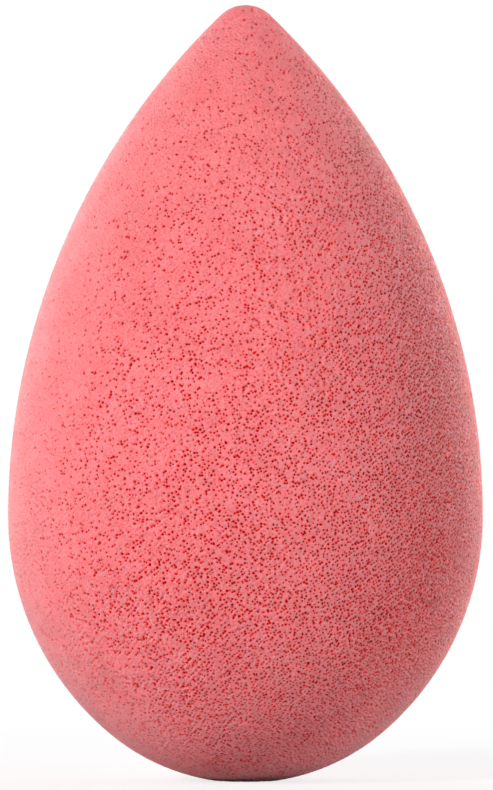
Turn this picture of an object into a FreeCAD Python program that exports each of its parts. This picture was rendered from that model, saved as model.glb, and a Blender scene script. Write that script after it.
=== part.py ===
import FreeCAD, Part
import Sketcher
import math
import os

# Teardrop make-up sponge: one piece of cut foam, round about its upright axis.
# It stands on the small flat that its broad round end settles to.
# Millimetres, +Z up along the axis to the tip, origin in the middle of that flat.

doc = FreeCAD.newDocument("makeup_sponge")

# Driving dimensions
sheet = doc.addObject("Spreadsheet::Sheet", "sizes")
driving_sizes = [
    ("belly_diameter", 40.0),  # across the widest part
    ("free_height", 65.5),     # from the tip to the lowest point of the broad end, before it settles
    ("belly_rise", 22.5),      # from that lowest point up to the widest part
    ("tip_radius", 3.0),       # rounding of the pointed end
    ("cap_angle", 40.0),       # degrees from the axis to where the broad end's cap runs into the belly
    ("settled_depth", 0.2),    # how far the broad end flattens where the sponge stands
]
for row, (alias, size) in enumerate(driving_sizes, start=1):
    sheet.set(f"A{row}", alias)
    sheet.set(f"B{row}", str(size))
    sheet.setAlias(f"B{row}", alias)
doc.recompute()

# How a sketch counts the points of a curve, and its own origin and upright axis
START, END, CENTRE = 1, 2, 3
SKETCH_ORIGIN = (-1, 1)
UPRIGHT_AXIS = -2


def origin_plane(body, role):
    """The body's own origin plane of that role."""
    for feature in body.Origin.OriginFeatures:
        if feature.Role == role:
            return feature
    raise ValueError(f"{body.Label} has no {role}")


def arc(middle, first, last):
    """Arc about middle, anticlockwise from first to last."""
    circle = Part.Circle(middle, FreeCAD.Vector(0, 0, 1), (first - middle).Length)
    return Part.ArcOfCircle(circle, circle.parameter(first), circle.parameter(last))


def draw_half_outline(body):
    """Half of the teardrop's outline: seat, broad end, belly, flank and tip, each tangent to the next."""
    sketch = body.newObject("Sketcher::SketchObject", "half_outline")
    sketch.AttachmentSupport = (origin_plane(body, "XZ_Plane"), "")
    sketch.MapMode = "FlatFace"

    # Levels above the seat
    half_width = sheet.belly_diameter / 2
    belly_level = sheet.belly_rise - sheet.settled_depth
    top_level = sheet.free_height - sheet.settled_depth
    tip_level = top_level - sheet.tip_radius

    # Radii that the tangents decide: the cap and the belly share a normal at the cap angle, and the flank
    # leaves the belly upright and runs into the tip
    cap_angle = math.radians(sheet.cap_angle)
    radius_step = (sheet.belly_rise - half_width) / (math.cos(cap_angle) + math.sin(cap_angle) - 1)
    cap_radius = sheet.belly_rise - radius_step * math.cos(cap_angle)
    belly_radius = cap_radius + radius_step
    cap_level = cap_radius - sheet.settled_depth
    seat_radius = math.sqrt(cap_radius**2 - cap_level**2)
    flank_rise = tip_level - belly_level
    flank_square = half_width**2 + flank_rise**2 - sheet.tip_radius**2
    flank_radius = flank_square / (2 * (half_width - sheet.tip_radius))

    # Where the arcs have their centres and meet
    foot = FreeCAD.Vector(0, 0)
    seat_edge = FreeCAD.Vector(seat_radius, 0)
    widest = FreeCAD.Vector(half_width, belly_level)
    top = FreeCAD.Vector(0, top_level)
    cap_centre = FreeCAD.Vector(0, cap_level)
    belly_centre = FreeCAD.Vector(half_width - belly_radius, belly_level)
    flank_centre = FreeCAD.Vector(half_width - flank_radius, belly_level)
    tip_centre = FreeCAD.Vector(0, tip_level)
    cap_edge = cap_centre + FreeCAD.Vector(math.sin(cap_angle), -math.cos(cap_angle)) * cap_radius
    flank_meets_tip = tip_centre + (tip_centre - flank_centre).normalize() * sheet.tip_radius

    seat = sketch.addGeometry(Part.LineSegment(foot, seat_edge))
    cap = sketch.addGeometry(arc(cap_centre, seat_edge, cap_edge))
    belly = sketch.addGeometry(arc(belly_centre, cap_edge, widest))
    flank = sketch.addGeometry(arc(flank_centre, widest, flank_meets_tip))
    tip = sketch.addGeometry(arc(tip_centre, flank_meets_tip, top))
    axis = sketch.addGeometry(Part.LineSegment(top, foot))
    cap_normal = sketch.addGeometry(Part.LineSegment(cap_centre, cap_edge), True)
    lowest = sketch.addGeometry(Part.Point(FreeCAD.Vector(0, -sheet.settled_depth)), True)

    def hold(*rule):
        return sketch.addConstraint(Sketcher.Constraint(*rule))

    def hold_at(formula, *rule):
        sketch.setExpression(f"Constraints[{hold(*rule)}]", formula)

    # The outline closes along the axis
    hold("Coincident", seat, START, *SKETCH_ORIGIN)
    hold("Horizontal", seat)
    hold("Coincident", axis, START, tip, END)
    hold("Coincident", axis, END, *SKETCH_ORIGIN)

    # The lowest point of the broad end before it settles is on the axis, below the seat
    hold("PointOnObject", lowest, START, UPRIGHT_AXIS)
    hold_at("sizes.settled_depth", "DistanceY", lowest, START, *SKETCH_ORIGIN, sheet.settled_depth)

    # Broad end: a cap through that point, centred on the axis
    hold("Coincident", seat, END, cap, START)
    hold("PointOnObject", cap, CENTRE, UPRIGHT_AXIS)
    hold("PointOnObject", lowest, START, cap)
    hold("Coincident", cap_normal, START, cap, CENTRE)
    hold("Coincident", cap_normal, END, cap, END)
    hold_at("sizes.cap_angle - 90", "Angle", cap_normal, cap_angle - math.pi / 2)

    # Belly: the arcs below and above it are both upright at the widest point
    hold("Tangent", cap, END, belly, START)
    hold("Tangent", belly, END, flank, START)
    hold("Horizontal", belly, CENTRE, belly, END)
    hold_at("sizes.belly_diameter / 2", "DistanceX", belly, END, half_width)
    hold_at("sizes.belly_rise", "DistanceY", lowest, START, belly, END, sheet.belly_rise)

    # Tip: a small arc centred on the axis, which the long flank runs into
    hold("Tangent", flank, END, tip, START)
    hold("PointOnObject", tip, CENTRE, UPRIGHT_AXIS)
    hold("PointOnObject", tip, END, UPRIGHT_AXIS)
    hold_at("sizes.tip_radius", "Radius", tip, sheet.tip_radius)
    hold_at("sizes.free_height", "DistanceY", lowest, START, tip, END, sheet.free_height)
    return sketch


# Foam body: the half outline turned once round the axis
foam_body = doc.addObject("PartDesign::Body", "foam_body")
foam_body.Label = "foam_body"
half_outline = draw_half_outline(foam_body)
teardrop = foam_body.newObject("PartDesign::Revolution", "teardrop")
teardrop.Profile = half_outline
teardrop.ReferenceAxis = (half_outline, ["V_Axis"])
teardrop.Angle = 360
foam_body.Placement = FreeCAD.Placement()
doc.recompute()

# Nothing is written unless every object is sound and the outline is fully held by its sizes
for item in doc.Objects:
    if "Invalid" in item.State or "Error" in item.State:
        raise RuntimeError(f"{item.Label} failed: {item.State}")
if not half_outline.FullyConstrained:
    raise RuntimeError("the half outline is not fully held by its sizes")

os.makedirs("parts", exist_ok=True)
for part in [foam_body]:
    shape = part.Shape
    if shape.isNull() or not shape.isValid() or len(shape.Solids) != 1:
        raise RuntimeError(f"{part.Label} is not one valid solid")
    shape.exportStep(f"parts/{part.Label}.step")
    box = shape.BoundBox
    print(f"{part.Label}: {box.XLength:.2f} x {box.YLength:.2f} x {box.ZLength:.2f} mm")
    print(f"{part.Label}: {shape.Volume / 1000:.2f} cm3, centre of mass {shape.CenterOfMass.z:.2f} mm up")
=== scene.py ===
import math

import bmesh
import bpy
import numpy as np
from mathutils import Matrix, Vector, kdtree


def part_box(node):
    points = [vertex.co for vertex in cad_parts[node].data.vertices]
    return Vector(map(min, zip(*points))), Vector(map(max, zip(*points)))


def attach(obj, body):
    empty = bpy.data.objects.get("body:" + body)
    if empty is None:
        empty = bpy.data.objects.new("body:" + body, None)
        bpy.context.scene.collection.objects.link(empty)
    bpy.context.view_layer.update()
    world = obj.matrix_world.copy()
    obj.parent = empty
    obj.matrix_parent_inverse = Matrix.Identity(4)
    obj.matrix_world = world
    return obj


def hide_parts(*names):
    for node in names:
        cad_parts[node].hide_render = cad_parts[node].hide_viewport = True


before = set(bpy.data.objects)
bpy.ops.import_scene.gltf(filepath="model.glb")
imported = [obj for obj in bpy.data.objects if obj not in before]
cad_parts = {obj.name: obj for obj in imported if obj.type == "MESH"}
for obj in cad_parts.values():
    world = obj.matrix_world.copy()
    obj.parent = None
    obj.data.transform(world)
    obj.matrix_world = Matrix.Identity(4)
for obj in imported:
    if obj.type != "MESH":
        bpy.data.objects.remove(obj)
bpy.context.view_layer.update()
seatLow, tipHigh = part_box("foam_body")
print("frame loaded, foam body box", [round(v * 1000, 2) for v in (*seatLow, *tipHigh)], "mm")

mm = 0.001

# Sponge outline: flat seat, cap, belly, flank and tip, arc into arc
spongeShape = {
    "width": tipHigh[0] - seatLow[0],
    "height": tipHigh[2] - seatLow[2],
    "settled": 0.2 * mm,      # round end pressed flat by its own weight
    "bellyRise": 22.5 * mm,   # lowest point of the round end to the widest part
    "tipRadius": 3.0 * mm,
    "capAngle": math.radians(40),
    "steps": {"seat": 60, "cap": 400, "belly": 600, "flank": 1200, "tip": 300},  # points along each line
    "fineness": 9,            # icosphere level
}


def arcPoints(centre, radius, startAngle, endAngle, count):
    angles = np.linspace(startAngle, endAngle, count)
    return np.column_stack((centre[0] + radius * np.cos(angles), centre[1] + radius * np.sin(angles)))


def outlinePoints(shape):
    half = shape["width"] / 2
    bellyLevel = shape["bellyRise"] - shape["settled"]
    tipLevel = shape["height"] - shape["tipRadius"]
    angle = shape["capAngle"]
    radiusStep = (shape["bellyRise"] - half) / (math.cos(angle) + math.sin(angle) - 1)
    capRadius = shape["bellyRise"] - radiusStep * math.cos(angle)
    bellyRadius = capRadius + radiusStep
    capLevel = capRadius - shape["settled"]
    rise = tipLevel - bellyLevel
    flankRadius = (half**2 + rise**2 - shape["tipRadius"]**2) / (2 * (half - shape["tipRadius"]))
    seatAngle = math.acos(capLevel / capRadius)  # off straight down
    flankEnd = math.atan2(rise, flankRadius - half)
    down = -math.pi / 2
    up = math.pi / 2
    steps = shape["steps"]
    seatReach = np.linspace(0, capRadius * math.sin(seatAngle), steps["seat"])
    seat = np.column_stack((seatReach, np.zeros(steps["seat"])))
    cap = arcPoints((0, capLevel), capRadius, down + seatAngle, down + angle, steps["cap"])
    belly = arcPoints((half - bellyRadius, bellyLevel), bellyRadius, down + angle, 0, steps["belly"])
    flank = arcPoints((half - flankRadius, bellyLevel), flankRadius, 0, flankEnd, steps["flank"])
    tip = arcPoints((0, tipLevel), shape["tipRadius"], flankEnd, up, steps["tip"])
    return np.vstack((seat, cap[1:], belly[1:], flank[1:], tip[1:]))


class Outline:
    # The outline as tables over the share of surface area below a point
    def __init__(self, shape):
        points = outlinePoints(shape)
        self.radius = points[:, 0]
        self.height = points[:, 1]
        step = np.hypot(np.diff(self.radius), np.diff(self.height))
        self.along = np.concatenate(([0], np.cumsum(step)))
        self.length = self.along[-1]
        ring = math.pi * (self.radius[1:] + self.radius[:-1]) * step
        area = np.concatenate(([0], np.cumsum(ring)))
        self.area = area[-1]
        self.share = area / self.area
        self.outward = np.gradient(self.height, self.along)
        self.upward = -np.gradient(self.radius, self.along)

    def place(self, directions):
        # points of a ball moved to the sponge, equal areas staying equal
        share = (1 + directions[:, 2]) / 2
        around = np.arctan2(directions[:, 1], directions[:, 0])
        along = np.interp(share, self.share, self.along)
        radius = np.interp(along, self.along, self.radius)
        height = np.interp(along, self.along, self.height)
        outward = np.interp(along, self.along, self.outward)
        upward = np.interp(along, self.along, self.upward)
        size = np.hypot(outward, upward)
        outward, upward = outward / size, upward / size
        spots = np.column_stack((radius * np.cos(around), radius * np.sin(around), height))
        normals = np.column_stack((outward * np.cos(around), outward * np.sin(around), upward))
        return spots, normals, around, along


# Open cells: bubbles of the foam that the cut surface goes through
openCells = {
    "seed": 11,
    "pitch": 0.33 * mm,                 # middle of a cell to the next
    "stray": 0.06 * mm,                 # how far a cell strays from an even spread
    "ripple": (0.01 * mm, 0.05 * mm),   # hollow of a whole cell
    "wall": 0.20 * mm,                  # from the rim to the floor of that hollow
    "pitDepth": (0.02 * mm, 0.09 * mm),
    "pitRadius": (0.11 * mm, 0.16 * mm),
    "deepDepth": (0.12 * mm, 0.30 * mm),
    "deepShare": (0.07, 0.97),          # deep cells where the foam is closest, and where it is most open
    "middleOpenness": 0.5,              # at the middle of the sponge, from 0 closest to 1 most open
    "openSide": (0.6, 0.0, -0.42),      # the foam opens toward the right and the broad end
}


def spreadDirections(count):
    # evenly spread directions on a ball, by the golden angle
    goldenAngle = math.pi * (3 - math.sqrt(5))
    index = np.arange(count)
    up = 1 - (2 * index + 1) / count
    turn = index * goldenAngle
    flat = np.sqrt(1 - up * up)
    return np.column_stack((flat * np.cos(turn), flat * np.sin(turn), up))


def scatterCells(shape, outline, cells):
    # middle of each cell, and its ripple, pit depth and pit radius
    dice = np.random.default_rng(cells["seed"])
    cellArea = cells["pitch"] ** 2 * math.sqrt(3) / 2
    count = int(outline.area / cellArea)
    centres, _, _, _ = outline.place(spreadDirections(count))
    centres = centres + dice.normal(0, cells["stray"], centres.shape)
    ripples = dice.uniform(*cells["ripple"], count)
    shallow = dice.uniform(*cells["pitDepth"], count)
    deep = dice.uniform(*cells["deepDepth"], count)
    radii = dice.uniform(*cells["pitRadius"], count)
    halfSize = np.array((shape["width"], shape["width"], shape["height"])) / 2
    fromMiddle = (centres - np.array((0, 0, halfSize[2]))) / halfSize
    openness = np.clip(cells["middleOpenness"] + fromMiddle @ np.array(cells["openSide"]), 0, 1)
    closest, mostOpen = cells["deepShare"]
    pits = np.where(dice.random(count) < closest + (mostOpen - closest) * openness, deep, shallow)
    return centres, ripples, pits, radii


def foamCells(points, shape, outline, cells):
    centres, ripples, pits, radii = scatterCells(shape, outline, cells)
    tree = kdtree.KDTree(len(centres))
    for index, centre in enumerate(centres):
        tree.insert(centre, index)
    tree.balance()
    cell = np.zeros(len(points), int)
    near = np.zeros(len(points))
    far = np.zeros(len(points))
    for index, point in enumerate(points):
        first, second = tree.find_n(point, 2)
        cell[index] = first[1]
        near[index] = first[2]
        far[index] = second[2]
    # each pit is centred on the mesh point nearest to its cell's middle
    order = np.lexsort((near, cell))
    owners, starts = np.unique(cell[order], return_index=True)
    core = np.zeros(len(centres), int)
    core[owners] = order[starts]
    fromCore = np.linalg.norm(points - points[core[cell]], axis=1)
    inside = np.clip((far - near) / cells["wall"], 0, 1)
    ripple = inside * (2 - inside) * ripples[cell]
    pit = np.clip(1 - fromCore / radii[cell], 0, 1) * pits[cell]
    return ripple, pit


def addAttribute(mesh, name, values):
    attribute = mesh.attributes.new(name, "FLOAT", "POINT")
    attribute.data.foreach_set("value", values.astype(np.float32))


# Map for baked finishes: the flank unrolled, the two ends as discs in a strip above it
bakeMap = {
    "margin": 0.01,
    "flankWidth": 0.97,         # one whole turn, with room beside it for faces that cross the seam
    "flankTop": 0.93,
    "endLength": 2.5 * mm,      # along the outline from the middle of each end
    "discRadius": 0.026,
    "discs": {"seat": (0.04, 0.966), "tip": (0.12, 0.966)},
}


def addBakeMap(mesh, outline, around, along, layout):
    corners = np.empty(len(mesh.loops), np.int32)
    mesh.loops.foreach_get("vertex_index", corners)
    turn = (around[corners] / (2 * math.pi) + 0.5).reshape(-1, 3)  # 0 to 1 round the axis
    climb = along[corners].reshape(-1, 3)
    crossing = np.ptp(turn, axis=1) > 0.5  # faces over the seam go on past 1
    turn[crossing] += turn[crossing] < 0.5
    margin = layout["margin"]
    across = margin + turn * layout["flankWidth"]
    up = margin + climb / outline.length * (layout["flankTop"] - 2 * margin)
    for name, fromEnd in (("seat", climb), ("tip", outline.length - climb)):
        end = (fromEnd < layout["endLength"]).all(axis=1)
        reach = fromEnd[end] / layout["endLength"] * layout["discRadius"]
        angle = turn[end] * 2 * math.pi
        discAcross, discUp = layout["discs"][name]
        across[end] = discAcross + reach * np.cos(angle)
        up[end] = discUp + reach * np.sin(angle)
    layer = mesh.uv_layers.new(name="OFBake")
    layer.data.foreach_set("uv", np.column_stack((across.ravel(), up.ravel())).astype(np.float32).ravel())


def buildSponge(shape, cells, layout):
    outline = Outline(shape)
    print("outline area", round(outline.area / mm**2), "mm2, meridian", round(outline.length / mm, 1), "mm")
    ball = bmesh.new()
    bmesh.ops.create_icosphere(ball, subdivisions=shape["fineness"], radius=1)
    mesh = bpy.data.meshes.new("foam_sponge")
    ball.to_mesh(mesh)
    ball.free()
    count = len(mesh.vertices)
    directions = np.empty(count * 3, np.float32)
    mesh.vertices.foreach_get("co", directions)
    directions = directions.reshape(-1, 3).astype(float)
    directions /= np.linalg.norm(directions, axis=1)[:, None]
    spots, normals, around, along = outline.place(directions)
    ripple, pit = foamCells(spots, shape, outline, cells)
    depth = ripple + pit
    spots = spots - normals * depth[:, None]
    mesh.vertices.foreach_set("co", spots.astype(np.float32).ravel())
    addAttribute(mesh, "depth", depth)
    addAttribute(mesh, "opening", pit / cells["deepDepth"][1])  # 1 in the deepest cell
    addBakeMap(mesh, outline, around, along, layout)
    mesh.shade_smooth()
    mesh.update()
    sponge = bpy.data.objects.new("foam_sponge", mesh)
    bpy.context.scene.collection.objects.link(sponge)
    print("sponge mesh", count, "points, mean cell depth", round(depth.mean() / mm, 3), "mm")
    return sponge


# Foam material
foamLook = {
    "rim": (0.98, 0.235, 0.255),
    # painted shade: the floors of the cells darker and redder, as if little light gets down into them
    "floor": (0.86, 0.022, 0.02),
    # painted shade: near black red in the deep cells, which crowd toward the open side
    "deepPitShade": (0.4, 0.004, 0.004),
    "pitFade": (0.07, 0.36),       # how open a cell is where the painted shade of its floor starts, and is full
    "deepFade": (0.3, 0.65),       # the same for the painted shade in the deep cells
    "facets": 1.1,                 # slopes of the pits laid over the smooth shading, 1 for their own depth
    "noiseSpan": (0.3, 0.7),       # part of a noise's range that the patches and specks use
    "mottle": 3.5 * mm,
    "mottleDetail": 2,
    "mottleShare": 0.05,
    "speckle": 0.09 * mm,
    "speckleDetail": 1,
    "speckleShare": 0.10,
    "cellSize": 0.27 * mm,         # fine cells on the walls of the open ones
    "cellRelief": 0.4,             # slope of their walls
    "grain": 0.10 * mm,
    "grainDetail": 1,
    "grainShare": 0.25,
    "roughness": (0.5, 0.8),       # on the rims, and in the cells
    "shine": 0.03,
    "scatter": 0.9,
    "scatterReach": 9.0 * mm,
    "scatterTint": (1.0, 0.04, 0.03),  # red goes furthest inside the foam
}


def fadeNode(nodes, links, source, start, end, low=0, high=1):
    fade = nodes.new("ShaderNodeMapRange")
    fade.interpolation_type = "SMOOTHSTEP"
    fade.inputs["From Min"].default_value = start
    fade.inputs["From Max"].default_value = end
    fade.inputs["To Min"].default_value = low
    fade.inputs["To Max"].default_value = high
    links.new(source, fade.inputs["Value"])
    return fade.outputs["Result"]


def mathNode(nodes, links, operation, first, second):
    node = nodes.new("ShaderNodeMath")
    node.operation = operation
    for socket, value in zip(node.inputs, (first, second)):
        if isinstance(value, (int, float)):
            socket.default_value = value
        else:
            links.new(value, socket)
    return node.outputs[0]


def attributeNode(nodes, name):
    node = nodes.new("ShaderNodeAttribute")
    node.attribute_name = name
    return node.outputs["Fac"]


def noiseNode(nodes, links, place, size, detail):
    noise = nodes.new("ShaderNodeTexNoise")
    noise.inputs["Scale"].default_value = 1 / size
    noise.inputs["Detail"].default_value = detail
    links.new(place, noise.inputs["Vector"])
    return noise.outputs["Fac"]


def mixNode(nodes, links, share, first, second):
    mix = nodes.new("ShaderNodeMix")
    mix.data_type = "RGBA"
    links.new(share, mix.inputs["Factor"])
    for socket, value in ((mix.inputs["A"], first), (mix.inputs["B"], second)):
        if isinstance(value, tuple):
            socket.default_value = (*value, 1)
        else:
            links.new(value, socket)
    return mix.outputs["Result"]


def makeFoam(look):
    material = bpy.data.materials.new("coral_foam")
    material.use_nodes = True
    nodes, links = material.node_tree.nodes, material.node_tree.links
    skin = nodes["Principled BSDF"]
    skin.inputs["Specular IOR Level"].default_value = look["shine"]
    skin.inputs["Subsurface Weight"].default_value = look["scatter"]
    skin.inputs["Subsurface Scale"].default_value = look["scatterReach"]
    skin.inputs["Subsurface Radius"].default_value = look["scatterTint"]
    place = nodes.new("ShaderNodeTexCoord").outputs["Object"]
    depth = attributeNode(nodes, "depth")
    opening = attributeNode(nodes, "opening")

    # painted shade: darker and redder down in the cells, with patches and specks of lighter and darker foam
    # painted shade: share of the cell floor colour, which follows how deep the pit is; the roughness
    # follows it too
    cellShadeShare = fadeNode(nodes, links, opening, *look["pitFade"])
    colour = mixNode(nodes, links, cellShadeShare, look["rim"], look["floor"])
    patch = noiseNode(nodes, links, place, look["mottle"], look["mottleDetail"])
    speck = noiseNode(nodes, links, place, look["speckle"], look["speckleDetail"])
    share = look["mottleShare"]
    patchLevel = fadeNode(nodes, links, patch, *look["noiseSpan"], 1 - share, 1 + share)
    share = look["speckleShare"]
    speckLevel = fadeNode(nodes, links, speck, *look["noiseSpan"], 1 - share, 1 + share)
    level = nodes.new("ShaderNodeVectorMath")
    level.operation = "SCALE"
    links.new(colour, level.inputs["Vector"])
    links.new(mathNode(nodes, links, "MULTIPLY", patchLevel, speckLevel), level.inputs["Scale"])
    # painted shade: the deep cells near black red, as if no light reaches in; the right and the broad end,
    # where they crowd, come out darker
    dark = fadeNode(nodes, links, opening, *look["deepFade"])
    colour = mixNode(nodes, links, dark, level.outputs["Vector"], look["deepPitShade"])
    links.new(colour, skin.inputs["Base Color"])

    onRim, inCell = look["roughness"]
    links.new(fadeNode(nodes, links, cellShadeShare, 0, 1, onRim, inCell), skin.inputs["Roughness"])

    # fine cells and grain over the slopes of the pits, all as heights in metres
    fineCells = nodes.new("ShaderNodeTexVoronoi")
    fineCells.inputs["Scale"].default_value = 1 / look["cellSize"]
    links.new(place, fineCells.inputs["Vector"])
    grain = noiseNode(nodes, links, place, look["grain"], look["grainDetail"])
    fine = mathNode(nodes, links, "MULTIPLY", grain, look["grainShare"])
    fine = mathNode(nodes, links, "ADD", fineCells.outputs["Distance"], fine)
    fine = mathNode(nodes, links, "MULTIPLY", fine, look["cellSize"] * look["cellRelief"])
    facets = mathNode(nodes, links, "MULTIPLY", depth, look["facets"])
    bump = nodes.new("ShaderNodeBump")
    bump.inputs["Distance"].default_value = 1
    links.new(mathNode(nodes, links, "SUBTRACT", fine, facets), bump.inputs["Height"])
    links.new(bump.outputs["Normal"], skin.inputs["Normal"])
    print("foam material", len(nodes), "nodes")
    return material


sponge = buildSponge(spongeShape, openCells, bakeMap)
sponge.data.materials.append(makeFoam(foamLook))
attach(sponge, "root")
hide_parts("foam_body")

# Floor, light and camera
studio = {
    "photoSize": (493, 790),
    "photoScale": 40 * mm / 475,    # real size of a pixel at the sponge
    "axisPixel": 245.5,
    "bottomPixel": 780.4,
    "lens": 360,
    "floorSize": 3.0,
    "floorBounce": (0.7, 0.7, 0.7),  # what the floor throws back on the sponge
    "paper": (0.88, 0.88, 0.88),    # the floor as seen, where the shadow falls
    "background": 1.0,
    "ambient": 0.02,
    "shadowReach": (0.02, 0.16),    # the floor is plain white past this
    "shadowDepth": 0.22,
    "lamps": {                      # turn from the camera and rise in degrees
        "key": {"turn": -38, "rise": 20, "distance": 0.45, "width": 0.10, "power": 1.8},
        "left": {"turn": -95, "rise": 15, "distance": 0.45, "width": 0.30, "power": 0.2},
        "fill": {"turn": 62, "rise": 16, "distance": 0.5, "width": 0.26, "power": 1.2},
        "backRight": {"turn": 145, "rise": 16, "distance": 0.6, "width": 0.30, "power": 2.6},
        "backLeft": {"turn": -150, "rise": 16, "distance": 0.6, "width": 0.30, "power": 2.2},
        "backTop": {"turn": 178, "rise": 55, "distance": 0.6, "width": 0.35, "power": 0.3},
    },
}


def seenNode(nodes, links):
    # 1 where the camera sees a surface, straight or in a reflection
    path = nodes.new("ShaderNodeLightPath")
    return mathNode(nodes, links, "MAXIMUM", path.outputs["Is Camera Ray"], path.outputs["Is Glossy Ray"])


def mixShader(nodes, links, share, first, second):
    mix = nodes.new("ShaderNodeMixShader")
    links.new(share, mix.inputs["Fac"])
    links.new(first.outputs[0], mix.inputs[1])
    links.new(second.outputs[0], mix.inputs[2])
    return mix


def matt(nodes, colour):
    shader = nodes.new("ShaderNodeBsdfDiffuse")
    shader.inputs["Color"].default_value = (*colour, 1)
    return shader


def makeFloor(look):
    bpy.ops.mesh.primitive_plane_add(size=look["floorSize"], location=(0, 0, 0))
    floor = bpy.context.object
    floor.name = "studio_floor"
    material = bpy.data.materials.new("pale_floor")
    material.use_nodes = True
    nodes, links = material.node_tree.nodes, material.node_tree.links
    nodes.clear()
    # paper near the sponge, running out into plain white
    away = nodes.new("ShaderNodeVectorMath")
    away.operation = "LENGTH"
    links.new(nodes.new("ShaderNodeTexCoord").outputs["Object"], away.inputs[0])
    white = fadeNode(nodes, links, away.outputs["Value"], *look["shadowReach"], 1 - look["shadowDepth"], 1)
    shown = mixShader(nodes, links, white, matt(nodes, look["paper"]), nodes.new("ShaderNodeEmission"))
    surface = mixShader(nodes, links, seenNode(nodes, links), matt(nodes, look["floorBounce"]), shown)
    out = nodes.new("ShaderNodeOutputMaterial")
    links.new(surface.outputs[0], out.inputs["Surface"])
    floor.data.materials.append(material)


def makeWorld(look):
    world = bpy.data.worlds.new("studio")
    bpy.context.scene.world = world
    world.use_nodes = True
    nodes, links = world.node_tree.nodes, world.node_tree.links
    back = nodes["Background"]
    level = nodes.new("ShaderNodeMapRange")
    level.inputs["To Min"].default_value = look["ambient"]
    level.inputs["To Max"].default_value = look["background"]
    links.new(seenNode(nodes, links), level.inputs["Value"])
    links.new(level.outputs[0], back.inputs["Strength"])
    back.inputs["Color"].default_value = (1, 1, 1, 1)


def makeLamp(name, look, target):
    data = bpy.data.lights.new(name, "AREA")
    data.shape = "DISK"
    data.size = look["width"]
    data.energy = look["power"]
    lamp = bpy.data.objects.new(name, data)
    turn = math.radians(look["turn"])
    rise = math.radians(look["rise"])
    away = Vector((math.sin(turn) * math.cos(rise), -math.cos(turn) * math.cos(rise), math.sin(rise)))
    lamp.location = target + away * look["distance"]
    lamp.rotation_euler = (target - lamp.location).to_track_quat("-Z", "Y").to_euler()
    lamp.visible_camera = False
    bpy.context.scene.collection.objects.link(lamp)


def makeCamera(look):
    data = bpy.data.cameras.new("camera")
    camera = bpy.data.objects.new("camera", data)
    data.lens = look["lens"]
    wide, tall = look["photoSize"]
    viewTall = tall * look["photoScale"]
    distance = viewTall * data.lens / data.sensor_width
    across = (wide / 2 - look["axisPixel"]) * look["photoScale"]
    level = (look["bottomPixel"] - tall / 2) * look["photoScale"]
    camera.location = (across, -distance, level)
    camera.rotation_euler = (math.pi / 2, 0, 0)
    bpy.context.scene.collection.objects.link(camera)
    bpy.context.scene.camera = camera
    print("camera", round(distance, 3), "m away")


makeFloor(studio)
makeWorld(studio)
spongeMiddle = Vector((0, 0, (seatLow[2] + tipHigh[2]) / 2))
for lampName, lampLook in studio["lamps"].items():
    makeLamp(lampName, lampLook, spongeMiddle)
makeCamera(studio)
bpy.context.scene.view_settings.view_transform = "Standard"
